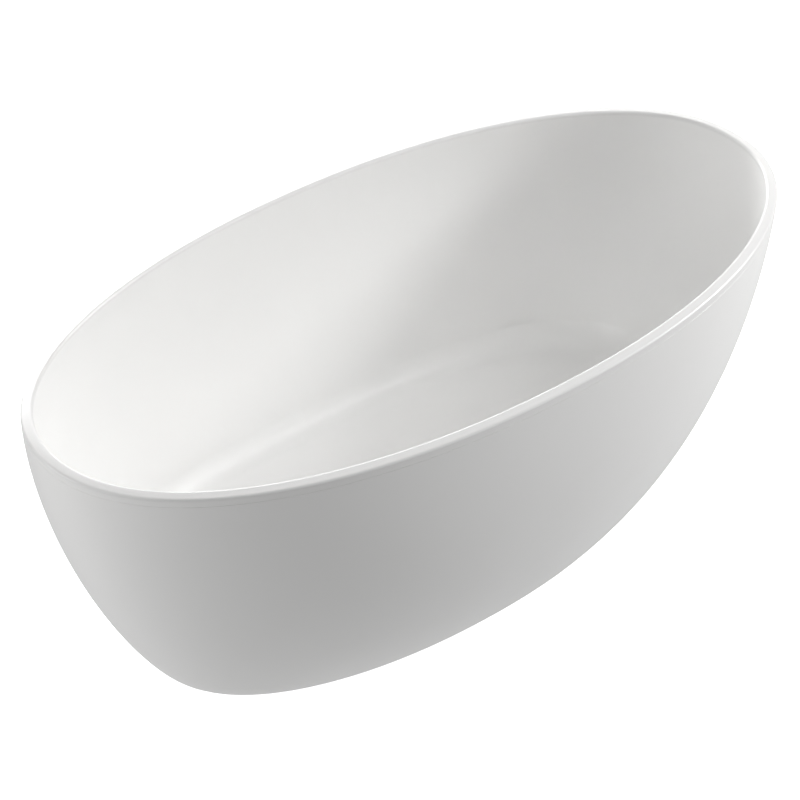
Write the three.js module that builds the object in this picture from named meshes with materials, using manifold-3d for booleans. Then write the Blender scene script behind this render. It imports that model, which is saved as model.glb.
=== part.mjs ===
// Freestanding oval bathtub with two acrylic skins. The basin's rim turns down over the top of the skirt.
// Under the floor are a bonded board, a steel frame on four screw feet, and a click waste with its trap.
// Millimetres, +Z up, +X along the tub. The origin is in the middle of the footprint, on the ground.
import * as THREE from 'three';
import { LoftGeometry } from 'three/addons/geometries/LoftGeometry.js';
import { mergeVertices } from 'three/addons/utils/BufferGeometryUtils.js';
import Module from 'manifold-3d';

const wasm = await Module();
wasm.setup();

// ---------- driving dimensions ----------

const GAP = 0.3; // between pieces that touch

// Outside of the tub
const LENGTH = 1500;
const WIDTH = 720;
const HEIGHT = 580;
const BASE_LENGTH = 1018;
const BASE_WIDTH = 432;
const RIM_POWER = 2.12; // exponent of the oval outline: 2 is an ellipse, more is squarer
const END_CURVE = { bulge: 1.52, foot: 1.24 }; // how the end walls rise from base to rim
const SIDE_CURVE = { bulge: 2.64, foot: 1.0 }; // how the long walls rise from base to rim

// Rim and skins
const RIM_WIDTH = 21;
const RIM_INNER_RADIUS = 5;
const RIM_OUTER_RADIUS = 7;
const LIP_DROP = 18;
const SKIN = 4;
const SKIRT_FOOT_FLANGE = 14;
const SKIRT_TONGUE = 10; // how far the skirt reaches up inside the lip

// Floor of the basin
const END_SPACE = 11; // least space between the skins at the ends, at the height of the floor
const SIDE_SPACE = 25; // the same at the sides
const FLOOR_POWER = 2.7;
const FLOOR_HEIGHT = 146; // at the wall
const FLOOR_FALL = 6; // from the wall down to the waste
const FLOOR_BEND = 34; // height of the bend from floor to wall
const INNER_END_CURVE = 1.75; // how fast the inner walls steepen towards the rim
const INNER_SIDE_CURVE = 2.4;
const RECESS_CLEARANCE = 3; // round the waste's flange
const RECESS_DEPTH = 3;
const WASTE_HOLE_CLEARANCE = 2; // round the waste's tube

// Board and frame
const BOARD = 16;
const BOARD_SHARE = 0.9; // of the floor's length and width
const RAIL = 25;
const RAIL_WALL = 2;
const RAIL_OVERHANG = 100; // past the cross rails
const FOOT_TO_RAIL = 40.3; // across the tub, from a foot in to a long rail
const FOOT_SETBACK = 179; // from the ends of the base in to the feet
const FOOT_SIDE_CLEARANCE = 12; // from a foot pad to the skirt's foot flange
const CROSS_RAIL_OVERHANG = 16; // past the feet's centres
const BOARD_SCREW_SETBACK = 60; // from the ends of a rail
const BOARD_SCREW_RADIUS = 2.5;
const BOARD_SCREW_BITE = 11;
const FRAME_BOLT_RADIUS = 3;

// Feet
const STUD_RADIUS = 6;
const STUD_CLEARANCE = 0.3;
const FOOT_PAD_RADIUS = 25;
const FOOT_PAD_HEIGHT = 16;
const FOOT_UP_TRAVEL = 7;
const HEX_HEIGHT = 7;
const NUT_FLATS = 19;
const WELD_NUT_HEIGHT = 10;
const LOCK_NUT_HEIGHT = 7;

// Waste
const FLANGE_REACH = 12; // outside the tube
const FLANGE_THICKNESS = 2.5;
const WASTE_TUBE_RADIUS = 24;
const WASTE_TUBE_WALL = 3;
const WASTE_TUBE_LENGTH = 46;
const CROSS_BAR_DEPTH = 33; // top of the cross bar below the flange's face
const CROSS_BAR_THICKNESS = 4;
const FLANGE_GASKET = 1.5;
const BASE_GASKET = 2.5;
const BACK_NUT_HEIGHT = 10;
const CARTRIDGE_RADIUS = 8;
const PLUNGER_RADIUS = 4.5;
const SPRING_WIRE = 0.9;
const SPRING_TURNS = 4;
const PLUG_SETBACK = 5; // from the flange's edge
const PLUG_THICKNESS = 5;
const TRAP_CUP_RADIUS = 44;
const TRAP_GROUND_CLEARANCE = 12;
const TRAP_NECK_LENGTH = 16; // between the coupling nut and the cup
const TRAP_WALL = 3;
const OUTLET_RADIUS = 18;
const OUTLET_REACH = 150;

// Rings and facets
const BIG_SIDES = 56;
const SMALL_SIDES = 20;
const TINY_SIDES = 12;

// ---------- shape helpers ----------

// Keeps only the places of a geometry's corners, and joins the ones that coincide.
function weld(geometry) {
  const bare = new THREE.BufferGeometry().copy(geometry);
  bare.deleteAttribute('normal');
  bare.deleteAttribute('uv');
  return mergeVertices(bare, 1e-4);
}

function toSolid(geometry) {
  const merged = weld(geometry);
  const vertProperties = merged.attributes.position.array;
  const triVerts = new Uint32Array(merged.index.array);
  return new wasm.Manifold(new wasm.Mesh({ numProp: 3, vertProperties, triVerts }));
}

function fromSolid(solid) {
  const made = solid.getMesh();
  const geometry = new THREE.BufferGeometry();
  geometry.setAttribute('position', new THREE.BufferAttribute(made.vertProperties, 3));
  geometry.setIndex(new THREE.BufferAttribute(made.triVerts, 1));
  const flat = geometry.toNonIndexed();
  flat.computeVertexNormals();
  return flat;
}

function cut(body, ...tools) {
  return fromSolid(tools.reduce((left, tool) => left.subtract(toSolid(tool)), toSolid(body)));
}

function join(...pieces) {
  return fromSolid(pieces.map(toSolid).reduce((whole, piece) => whole.add(piece)));
}

// Revolves a section of [radius, height] points about Z.
function turned(section, sides = SMALL_SIDES) {
  const points = section.map(([radius, height]) => new THREE.Vector2(radius, height));
  return weld(new THREE.LatheGeometry(points, sides).rotateX(Math.PI / 2));
}

function rod(radius, low, high, sides = SMALL_SIDES) {
  return turned([[0, low], [radius, low], [radius, high], [0, high]], sides);
}

function ring(inner, outer, low, high, sides = SMALL_SIDES) {
  return turned([[inner, low], [outer, low], [outer, high], [inner, high], [inner, low]], sides);
}

// A hexagonal prism along Z, with a round hole where bore is given.
function hexagon(flats, low, high, bore = 0) {
  const corner = flats / Math.sqrt(3);
  const shape = new THREE.Shape();
  for (let k = 0; k < 6; k++) {
    const angle = (k * Math.PI) / 3;
    shape[k ? 'lineTo' : 'moveTo'](corner * Math.cos(angle), corner * Math.sin(angle));
  }
  shape.closePath();
  if (bore) shape.holes.push(new THREE.Path().absarc(0, 0, bore, 0, 2 * Math.PI, true));
  const options = { depth: high - low, bevelEnabled: false, curveSegments: TINY_SIDES / 2 };
  return weld(new THREE.ExtrudeGeometry(shape, options).translate(0, 0, low));
}

// A square steel tube along X, centred on the origin.
function squareTube(length) {
  const half = RAIL / 2;
  const hollow = half - RAIL_WALL;
  const square = (path, size) => {
    path.moveTo(-size, -size).lineTo(size, -size).lineTo(size, size).lineTo(-size, size).closePath();
    return path;
  };
  const shape = square(new THREE.Shape(), half);
  shape.holes.push(square(new THREE.Path(), hollow));
  const tube = new THREE.ExtrudeGeometry(shape, { depth: length, bevelEnabled: false });
  return tube.translate(0, 0, -length / 2).rotateY(Math.PI / 2);
}

// A point on an oval with the given half length, half width and exponent.
function ovalPoint(row, angle) {
  const c = Math.cos(angle);
  const s = Math.sin(angle);
  const x = row.a * Math.sign(c) * Math.abs(c) ** (2 / row.power);
  const y = row.b * Math.sign(s) * Math.abs(s) ** (2 / row.power);
  return new THREE.Vector3(x, y, row.z);
}

// A skin whose section is a closed list of ovals. The first oval closes the list again.
function ovalSkin(rows, sides = BIG_SIDES) {
  const sections = [...rows, rows[0]].map((row) => {
    const points = [];
    for (let k = 0; k < sides; k++) points.push(ovalPoint(row, (2 * Math.PI * k) / sides));
    return points;
  });
  return weld(new LoftGeometry(sections));
}

// Even steps from start to end, both included.
function steps(start, end, count) {
  return Array.from({ length: count + 1 }, (unused, k) => start + ((end - start) * k) / count);
}

// ---------- outline of the tub ----------

// Share of the way from the base's size to the rim's size, at a share of the height.
function rise(share, curve) {
  return (1 - (1 - share) ** curve.bulge) ** (1 / curve.foot);
}

// The outside of the tub at a height, moved in by inset.
function outsideRow(z, inset = 0) {
  const share = Math.min(z / HEIGHT, 1);
  const a = BASE_LENGTH / 2 + ((LENGTH - BASE_LENGTH) / 2) * rise(share, END_CURVE);
  const b = BASE_WIDTH / 2 + ((WIDTH - BASE_WIDTH) / 2) * rise(share, SIDE_CURVE);
  return { a: a - inset, b: b - inset, z, power: RIM_POWER };
}

// Where the inner wall meets the bend of the floor. The basin stays clear of the skirt here.
const WALL_FOOT_Z = FLOOR_HEIGHT + FLOOR_BEND;
const WALL_FOOT_A = outsideRow(FLOOR_HEIGHT, 2 * SKIN + END_SPACE).a;
const WALL_FOOT_B = outsideRow(FLOOR_HEIGHT, 2 * SKIN + SIDE_SPACE).b;
const WALL_TOP = { ...outsideRow(HEIGHT, RIM_WIDTH), z: HEIGHT - RIM_INNER_RADIUS };
const END_LEAN = lean(WALL_TOP.a - WALL_FOOT_A, INNER_END_CURVE);
const SIDE_LEAN = lean(WALL_TOP.b - WALL_FOOT_B, INNER_SIDE_CURVE);
const FLOOR_A = WALL_FOOT_A - bendInset(0, END_LEAN);
const FLOOR_B = WALL_FOOT_B - bendInset(0, SIDE_LEAN);
const FLOOR_LOW = FLOOR_HEIGHT - FLOOR_FALL;
const FLANGE_RADIUS = WASTE_TUBE_RADIUS + FLANGE_REACH;
const RECESS_RADIUS = FLANGE_RADIUS + RECESS_CLEARANCE;
const WASTE_HOLE_RADIUS = WASTE_TUBE_RADIUS + WASTE_HOLE_CLEARANCE;
const RECESS_EDGE = RECESS_RADIUS + RECESS_DEPTH;
const RECESS_FACE = FLOOR_LOW - RECESS_DEPTH;

// How far the inner wall leans out from upright at its foot.
function lean(swell, curve) {
  return Math.atan((swell * curve) / (WALL_TOP.z - WALL_FOOT_Z));
}

// How far in from the wall's foot the floor's bend is, at a height above its start. It ends in line with the wall.
function bendInset(up, wallLean) {
  const radius = FLOOR_BEND / (1 - Math.sin(wallLean));
  return radius * Math.cos(wallLean) - Math.sqrt(up * (2 * radius - up));
}

// The floor's face, from the waste recess at share 0 to the bend at share 1.
function floorRow(share) {
  return {
    a: RECESS_EDGE + (FLOOR_A - RECESS_EDGE) * share,
    b: RECESS_EDGE + (FLOOR_B - RECESS_EDGE) * share,
    z: FLOOR_LOW + FLOOR_FALL * share,
    power: 2 + (FLOOR_POWER - 2) * share,
  };
}

// The basin's inner wall, from the top of the floor's bend at share 0 to the rim's bend at share 1.
function innerWallRow(share) {
  const endSwell = 1 - (1 - share) ** INNER_END_CURVE;
  const sideSwell = 1 - (1 - share) ** INNER_SIDE_CURVE;
  return {
    a: WALL_FOOT_A + (WALL_TOP.a - WALL_FOOT_A) * endSwell,
    b: WALL_FOOT_B + (WALL_TOP.b - WALL_FOOT_B) * sideSwell,
    z: WALL_FOOT_Z + (WALL_TOP.z - WALL_FOOT_Z) * share,
    power: FLOOR_POWER + (RIM_POWER - FLOOR_POWER) * Math.sqrt(share),
  };
}

// The face of the basin that is seen, from the waste hole over the rim to the lip's lower edge. turn is the
// direction of the skin's back: 0 down, a quarter turn outward, minus a quarter turn inward.
function basinFace() {
  const quarter = Math.PI / 2;
  const rows = [];
  const flat = (row, turn) => rows.push({ ...row, turn });
  const round = (radius) => ({ a: radius, b: radius, z: RECESS_FACE, power: 2 });
  flat(round(WASTE_HOLE_RADIUS), 0);
  flat(round(RECESS_RADIUS), 0);
  for (const share of [0, 0.3, 0.65]) flat(floorRow(share), 0);
  for (const turn of steps(0, quarter, 4)) {
    const up = FLOOR_BEND * (1 - Math.cos(turn));
    const size = { a: WALL_FOOT_A - bendInset(up, END_LEAN), b: WALL_FOOT_B - bendInset(up, SIDE_LEAN) };
    flat({ ...size, z: FLOOR_HEIGHT + up, power: FLOOR_POWER }, turn);
  }
  for (const share of steps(0, 1, 5).slice(1)) flat(innerWallRow(share), quarter);
  for (const turn of steps(quarter, 0, 2).slice(1)) {
    const inset = RIM_WIDTH - RIM_INNER_RADIUS * (1 - Math.sin(turn));
    const z = HEIGHT - RIM_INNER_RADIUS * (1 - Math.cos(turn));
    flat({ ...outsideRow(HEIGHT, inset), z }, turn);
  }
  for (const turn of steps(0, -quarter, 2)) {
    const inset = RIM_OUTER_RADIUS * (1 + Math.sin(turn));
    const z = HEIGHT - RIM_OUTER_RADIUS * (1 - Math.cos(turn));
    flat({ ...outsideRow(HEIGHT, inset), z }, turn);
  }
  flat(outsideRow(HEIGHT - LIP_DROP), -quarter);
  return rows;
}

// The back of a face: each row moved by the skin's thickness, and met in the opposite order.
function behind(rows, thickness) {
  return rows.toReversed().map((row) => {
    const out = thickness * Math.sin(row.turn);
    return { ...row, a: row.a + out, b: row.b + out, z: row.z - thickness * Math.cos(row.turn) };
  });
}

// ---------- skins ----------

function basin() {
  const face = basinFace();
  const back = behind(face, SKIN);
  return ovalSkin([...back, ...face].toReversed());
}

function skirt() {
  const top = HEIGHT - LIP_DROP - GAP;
  const tongueTop = HEIGHT - LIP_DROP + SKIRT_TONGUE;
  const tongueInset = SKIN + GAP;
  const flange = SKIN + SKIRT_FOOT_FLANGE;
  const heights = steps(0, 1, 9).map((share) => top * share ** 1.5);
  const outside = heights.map((z) => outsideRow(z));
  const tongue = [
    outsideRow(top, tongueInset),
    { ...outsideRow(top, tongueInset), z: tongueTop },
    { ...outsideRow(top, tongueInset + SKIN), z: tongueTop },
  ];
  const inside = heights
    .filter((z) => z > SKIN && z < top - LIP_DROP)
    .map((z) => outsideRow(z, SKIN))
    .toReversed();
  const shoulder = outsideRow(top - LIP_DROP, tongueInset + SKIN);
  const foot = [outsideRow(SKIN, SKIN), { ...outsideRow(0, flange), z: SKIN }, outsideRow(0, flange)];
  return ovalSkin([...outside, ...tongue, shoulder, ...inside, ...foot]);
}

// ---------- board and frame ----------

const BOARD_TOP_INSET = SKIN + GAP;
const BOARD_LOW = FLOOR_LOW - BOARD_TOP_INSET - BOARD;
const RAIL_Z = BOARD_LOW - GAP - RAIL / 2;
const CROSS_RAIL_Z = RAIL_Z - RAIL - GAP;
const FOOT_X = BASE_LENGTH / 2 - FOOT_SETBACK;
const FOOT_Y = baseOpeningAt(FOOT_X) - FOOT_SIDE_CLEARANCE - FOOT_PAD_RADIUS;
const RAIL_Y = FOOT_Y - FOOT_TO_RAIL;
const RAIL_LENGTH = 2 * (FOOT_X + RAIL_OVERHANG);
const BOARD_SCREW_X = RAIL_LENGTH / 2 - BOARD_SCREW_SETBACK;

// Half the width of the opening inside the skirt's foot flange, at a distance from the middle.
function baseOpeningAt(x) {
  const opening = outsideRow(0, SKIN + SKIRT_FOOT_FLANGE);
  return opening.b * (1 - (x / opening.a) ** opening.power) ** (1 / opening.power);
}

// The board's top follows the fall of the floor. Its hole clears the back nut, and its underside is drilled.
function floorBoard(drillings) {
  const rows = steps(0, BOARD_SHARE, 3).map(floorRow);
  const top = rows.map((row) => ({ ...row, z: row.z - BOARD_TOP_INSET }));
  const bottom = rows.map((row) => ({ ...row, z: BOARD_LOW }));
  const hole = rod(RECESS_EDGE + SKIN + 2, BOARD_LOW - 1, FLOOR_HEIGHT);
  return cut(ovalSkin([...bottom, ...top.toReversed()], BIG_SIDES / 2), hole, ...drillings);
}

// A long rail, with holes for its board screws and for the bolts of the cross rails.
function rail(side) {
  const tube = squareTube(RAIL_LENGTH).translate(0, side * RAIL_Y, RAIL_Z);
  const holeAt = (x, radius, low, high) => rod(radius, low, high, TINY_SIDES).translate(x, side * RAIL_Y, 0);
  const screwHoles = [-1, 0, 1].map((k) => {
    return holeAt(k * BOARD_SCREW_X, BOARD_SCREW_RADIUS + GAP, RAIL_Z, BOARD_LOW);
  });
  const boltHoles = [-1, 1].map((k) => {
    return holeAt(k * FOOT_X, FRAME_BOLT_RADIUS + GAP, RAIL_Z - RAIL, RAIL_Z);
  });
  return cut(tube, ...screwHoles, ...boltHoles);
}

// A rail across the tub, with holes for two frame bolts and, in its lower wall, for two foot studs.
function crossRail(end) {
  const length = 2 * (FOOT_Y + CROSS_RAIL_OVERHANG);
  const tube = squareTube(length).rotateZ(Math.PI / 2).translate(end * FOOT_X, 0, CROSS_RAIL_Z);
  const holes = [];
  for (const side of [-1, 1]) {
    const bolt = rod(FRAME_BOLT_RADIUS + GAP, CROSS_RAIL_Z - RAIL, CROSS_RAIL_Z + RAIL, TINY_SIDES);
    const stud = rod(STUD_RADIUS + STUD_CLEARANCE, CROSS_RAIL_Z - RAIL, CROSS_RAIL_Z, TINY_SIDES);
    holes.push(bolt.translate(end * FOOT_X, side * RAIL_Y, 0));
    holes.push(stud.translate(end * FOOT_X, side * FOOT_Y, 0));
  }
  return cut(tube, ...holes);
}

// A wood screw whose pan head bears on the inside of a rail's upper wall.
function boardScrew() {
  const seat = BOARD_LOW - GAP - RAIL_WALL - GAP;
  const head = 2 * BOARD_SCREW_RADIUS;
  const tip = BOARD_LOW + BOARD_SCREW_BITE;
  const shank = BOARD_SCREW_RADIUS;
  const section = [[0, seat - 3], [head * 0.7, seat - 3], [head, seat - 1.5], [head, seat], [shank, seat]];
  section.push([shank, tip - 4], [0, tip]);
  return turned(section, TINY_SIDES);
}

// The hole that a board screw makes in the board.
function boardScrewHole() {
  return rod(BOARD_SCREW_RADIUS + GAP, BOARD_LOW - 1, BOARD_LOW + BOARD_SCREW_BITE + GAP, TINY_SIDES);
}

const BOLT_HEAD_FLATS = 10;
const BOLT_HEAD_HEIGHT = 4;
const FRAME_NUT_HEIGHT = 5;
const FRAME_NUT_SEAT = RAIL_Z - RAIL / 2 + RAIL_WALL + GAP;

function frameBolt() {
  const under = CROSS_RAIL_Z - RAIL / 2 - GAP;
  const tip = FRAME_NUT_SEAT + FRAME_NUT_HEIGHT + 3;
  const head = hexagon(BOLT_HEAD_FLATS, under - BOLT_HEAD_HEIGHT, under);
  return join(head, rod(FRAME_BOLT_RADIUS, under - 1, tip, TINY_SIDES));
}

function frameNut() {
  const bore = FRAME_BOLT_RADIUS + GAP;
  return hexagon(BOLT_HEAD_FLATS, FRAME_NUT_SEAT, FRAME_NUT_SEAT + FRAME_NUT_HEIGHT, bore);
}

// ---------- feet ----------

const STUD_BORE = STUD_RADIUS + STUD_CLEARANCE;
const WELD_NUT_TOP = CROSS_RAIL_Z - RAIL / 2 - GAP;
const WELD_NUT_LOW = WELD_NUT_TOP - WELD_NUT_HEIGHT;
const LOCK_NUT_TOP = WELD_NUT_LOW - GAP;
const STUD_TOP = CROSS_RAIL_Z + RAIL / 2 - RAIL_WALL - FOOT_UP_TRAVEL - 1;
const SOCKET_FLOOR = 5;

function weldNut() {
  return hexagon(NUT_FLATS, WELD_NUT_LOW, WELD_NUT_TOP, STUD_BORE);
}

function lockNut() {
  return hexagon(NUT_FLATS, LOCK_NUT_TOP - LOCK_NUT_HEIGHT, LOCK_NUT_TOP, STUD_BORE);
}

// The stud stands in the pad's socket, and its hexagon above the pad takes a spanner.
function footStud() {
  const hexLow = FOOT_PAD_HEIGHT + GAP;
  const hex = hexagon(2 * STUD_RADIUS + 2, hexLow, hexLow + HEX_HEIGHT);
  return join(rod(STUD_RADIUS, SOCKET_FLOOR + GAP, STUD_TOP), hex);
}

// A moulded pad with a thick collar round the stud.
function footPad() {
  const bore = STUD_BORE;
  const collar = STUD_RADIUS + 5;
  const section = [[0, 0], [FOOT_PAD_RADIUS, 0], [FOOT_PAD_RADIUS, 4], [FOOT_PAD_RADIUS - 2, 6]];
  section.push([collar + 2, 9], [collar, 11], [collar, FOOT_PAD_HEIGHT], [bore, FOOT_PAD_HEIGHT]);
  section.push([bore, SOCKET_FLOOR], [0, SOCKET_FLOOR]);
  return turned(section);
}

// ---------- waste ----------

const FLANGE_LOW = RECESS_FACE + GAP + FLANGE_GASKET + GAP;
const FLANGE_TOP = FLANGE_LOW + FLANGE_THICKNESS;
const TUBE_LOW = FLANGE_TOP - WASTE_TUBE_LENGTH;
const BAR_TOP = FLANGE_TOP - CROSS_BAR_DEPTH;
const BAR_LOW = BAR_TOP - CROSS_BAR_THICKNESS;
const CARTRIDGE_STUD_RADIUS = 5;
const WASTE_BORE_RADIUS = WASTE_TUBE_RADIUS - WASTE_TUBE_WALL;
const MOUTH_RADIUS = WASTE_TUBE_RADIUS + 1;
const MOUTH_DEPTH = 3;
const PLUG_RADIUS = FLANGE_RADIUS - PLUG_SETBACK;

// The flange and its threaded tube, with a bar across the bore that holds the cartridge.
function wasteFlange() {
  const section = [[WASTE_BORE_RADIUS, TUBE_LOW], [WASTE_TUBE_RADIUS, TUBE_LOW]];
  section.push([WASTE_TUBE_RADIUS, FLANGE_LOW], [FLANGE_RADIUS, FLANGE_LOW]);
  section.push([FLANGE_RADIUS, FLANGE_TOP - 1], [FLANGE_RADIUS - 1.5, FLANGE_TOP]);
  section.push([MOUTH_RADIUS, FLANGE_TOP], [WASTE_BORE_RADIUS, FLANGE_TOP - MOUTH_DEPTH]);
  section.push([WASTE_BORE_RADIUS, TUBE_LOW]);
  const bar = new THREE.BoxGeometry(2 * WASTE_BORE_RADIUS + 2, 5, CROSS_BAR_THICKNESS);
  bar.translate(0, 0, (BAR_TOP + BAR_LOW) / 2);
  const hub = rod(CARTRIDGE_RADIUS + 1, BAR_LOW, BAR_TOP);
  const whole = join(turned(section), bar, bar.clone().rotateZ(Math.PI / 2), hub);
  return cut(whole, rod(CARTRIDGE_STUD_RADIUS + GAP, BAR_LOW - 1, BAR_TOP + 1));
}

function flangeGasket() {
  const low = RECESS_FACE + GAP;
  return ring(WASTE_TUBE_RADIUS + GAP, FLANGE_RADIUS - 0.5, low, low + FLANGE_GASKET);
}

const BASE_GASKET_TOP = RECESS_FACE - SKIN - GAP;
const BACK_NUT_TOP = BASE_GASKET_TOP - BASE_GASKET - GAP;

function baseGasket() {
  return ring(WASTE_TUBE_RADIUS + GAP, FLANGE_RADIUS, BASE_GASKET_TOP - BASE_GASKET, BASE_GASKET_TOP);
}

// A round nut with a hexagonal grip.
function backNut() {
  const low = BACK_NUT_TOP - BACK_NUT_HEIGHT;
  const bore = WASTE_TUBE_RADIUS + GAP;
  const grip = hexagon(2 * WASTE_TUBE_RADIUS + 10, low, BACK_NUT_TOP);
  const collar = rod(FLANGE_RADIUS - 1, BACK_NUT_TOP - 3, BACK_NUT_TOP);
  return cut(join(grip, collar), rod(bore, low - 1, BACK_NUT_TOP + 1));
}

const CARTRIDGE_BORE = PLUNGER_RADIUS + GAP;
const CARTRIDGE_LOW = BAR_LOW - 6;
const SPRING_SEAT = BAR_TOP + GAP + 3;
const PLUNGER_LOW = SPRING_SEAT + GAP + SPRING_WIRE * (SPRING_TURNS + 1) * 1.25;
const PLUG_LOW = FLANGE_TOP + GAP;

// The click cartridge: a sleeve that screws down into the cross bar and is open at the top.
function cartridgeBody() {
  const top = PLUG_LOW - 9;
  const section = [[0, CARTRIDGE_LOW], [CARTRIDGE_STUD_RADIUS, CARTRIDGE_LOW]];
  section.push([CARTRIDGE_STUD_RADIUS, BAR_TOP + GAP], [CARTRIDGE_RADIUS, BAR_TOP + GAP]);
  section.push([CARTRIDGE_RADIUS, top], [CARTRIDGE_BORE, top], [CARTRIDGE_BORE, SPRING_SEAT]);
  section.push([0, SPRING_SEAT]);
  return turned(section);
}

class HelixCurve extends THREE.Curve {
  constructor(radius, low, high, turns) {
    super();
    Object.assign(this, { radius, low, high, turns });
  }

  getPoint(t, target = new THREE.Vector3()) {
    const angle = 2 * Math.PI * this.turns * t;
    const z = this.low + (this.high - this.low) * t;
    return target.set(this.radius * Math.cos(angle), this.radius * Math.sin(angle), z);
  }
}

// The spring under the plunger, pressed nearly solid while the plug is down.
function cartridgeSpring() {
  const wire = SPRING_WIRE / 2;
  const low = SPRING_SEAT + GAP + wire;
  const high = PLUNGER_LOW - GAP - wire;
  const path = new HelixCurve(CARTRIDGE_BORE - GAP - wire, low, high, SPRING_TURNS);
  const section = new THREE.Shape();
  for (let k = 0; k < 4; k++) {
    const angle = (k * Math.PI) / 2;
    section[k ? 'lineTo' : 'moveTo'](wire * Math.cos(angle), wire * Math.sin(angle));
  }
  const options = { steps: SPRING_TURNS * 8, extrudePath: path, bevelEnabled: false };
  return weld(new THREE.ExtrudeGeometry(section, options));
}

const PLUG_SOCKET_DEPTH = 3;

function plunger() {
  return rod(PLUNGER_RADIUS, PLUNGER_LOW, PLUG_LOW + PLUG_SOCKET_DEPTH - GAP);
}

// The plug's cap, slightly domed, with a socket underneath for the plunger.
function plugCap() {
  const edge = PLUG_LOW + PLUG_THICKNESS - 2;
  const socket = PLUNGER_RADIUS + GAP;
  const section = [[0, PLUG_LOW + PLUG_SOCKET_DEPTH], [socket, PLUG_LOW + PLUG_SOCKET_DEPTH]];
  section.push([socket, PLUG_LOW], [PLUG_RADIUS - 1, PLUG_LOW], [PLUG_RADIUS, PLUG_LOW + 1]);
  section.push([PLUG_RADIUS, edge - 0.5], [PLUG_RADIUS - 1, edge + 0.5], [PLUG_RADIUS * 0.75, edge + 1.3]);
  section.push([PLUG_RADIUS * 0.4, edge + 1.8], [0, PLUG_LOW + PLUG_THICKNESS]);
  return turned(section);
}

// The seal under the cap, inside the flange's tapered mouth.
function plugSeal() {
  const high = PLUG_LOW - GAP;
  const low = high - 2.4;
  const taper = (MOUTH_RADIUS - WASTE_BORE_RADIUS) / MOUTH_DEPTH;
  const mouth = WASTE_BORE_RADIUS + taper * (low - (FLANGE_TOP - MOUTH_DEPTH));
  return ring(mouth - 8, mouth - 1.2, low, high);
}

// ---------- trap ----------

const NECK_RADIUS = WASTE_TUBE_RADIUS;
const TRAP_SEAL = 2.5;
const TRAP_SEAL_TOP = TUBE_LOW - GAP;
const TRAP_TOP = TRAP_SEAL_TOP - TRAP_SEAL - GAP;
const TRAP_LIP = 4;
const TRAP_LIP_RADIUS = NECK_RADIUS + 3;
const COUPLING_HOOK = 4;
const COUPLING_LOW = TRAP_TOP - TRAP_LIP - GAP - COUPLING_HOOK;
const TRAP_CUP_BOTTOM = TRAP_GROUND_CLEARANCE;
const TRAP_CUP_TOP = COUPLING_LOW - TRAP_NECK_LENGTH;
const OUTLET_Z = (TRAP_CUP_BOTTOM + TRAP_CUP_TOP) / 2 + 6;
const OUTLET_COLLAR = OUTLET_RADIUS + 4;
const OUTLET_NUT_LENGTH = 24;

function trapSeal() {
  return ring(WASTE_BORE_RADIUS, WASTE_TUBE_RADIUS, TRAP_SEAL_TOP - TRAP_SEAL, TRAP_SEAL_TOP);
}

// Draws the trap's lip up against the end of the waste tube.
function couplingNut() {
  const outer = TRAP_LIP_RADIUS + 5;
  const top = TUBE_LOW + 10;
  const shoulder = TUBE_LOW + GAP;
  const hook = TRAP_TOP - TRAP_LIP - GAP;
  const low = COUPLING_LOW;
  const section = [[NECK_RADIUS + GAP, low], [outer, low], [outer, top], [WASTE_TUBE_RADIUS + GAP, top]];
  section.push([WASTE_TUBE_RADIUS + GAP, shoulder], [TRAP_LIP_RADIUS + GAP, shoulder]);
  section.push([TRAP_LIP_RADIUS + GAP, hook], [NECK_RADIUS + GAP, hook], [NECK_RADIUS + GAP, low]);
  return turned(section);
}

function alongX(piece) {
  return piece.rotateY(Math.PI / 2).translate(0, 0, OUTLET_Z);
}

// A bottle trap: the inlet dips into the cup's water, and the outlet leaves high on the cup's side.
function trapBody() {
  const dip = TRAP_CUP_BOTTOM + 18;
  const inside = TRAP_CUP_RADIUS - TRAP_WALL;
  const roof = TRAP_CUP_TOP - TRAP_WALL;
  const dipTube = WASTE_BORE_RADIUS + 2;
  const cup = [[0, TRAP_CUP_BOTTOM], [TRAP_CUP_RADIUS - 4, TRAP_CUP_BOTTOM]];
  cup.push([TRAP_CUP_RADIUS, TRAP_CUP_BOTTOM + 4], [TRAP_CUP_RADIUS, TRAP_CUP_TOP - 3]);
  cup.push([TRAP_CUP_RADIUS - 3, TRAP_CUP_TOP], [NECK_RADIUS, TRAP_CUP_TOP]);
  cup.push([NECK_RADIUS, TRAP_TOP - TRAP_LIP], [TRAP_LIP_RADIUS, TRAP_TOP - TRAP_LIP]);
  cup.push([TRAP_LIP_RADIUS, TRAP_TOP], [WASTE_BORE_RADIUS, TRAP_TOP], [WASTE_BORE_RADIUS, dip]);
  cup.push([dipTube, dip], [dipTube, roof], [inside, roof], [inside, TRAP_CUP_BOTTOM + TRAP_WALL]);
  cup.push([0, TRAP_CUP_BOTTOM + TRAP_WALL]);
  const root = inside + 1;
  const pipe = alongX(rod(OUTLET_RADIUS, root, OUTLET_REACH - OUTLET_NUT_LENGTH / 2));
  const collar = alongX(rod(OUTLET_COLLAR, OUTLET_REACH - OUTLET_NUT_LENGTH, OUTLET_REACH - 10));
  const bore = alongX(rod(OUTLET_RADIUS - TRAP_WALL, dipTube + 4, OUTLET_REACH + 1));
  return cut(join(turned(cup), pipe, collar), bore);
}

function outletSeal() {
  const low = OUTLET_REACH - 10 + GAP;
  return alongX(ring(OUTLET_RADIUS - TRAP_WALL, OUTLET_RADIUS + 1, low, low + 3));
}

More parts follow.
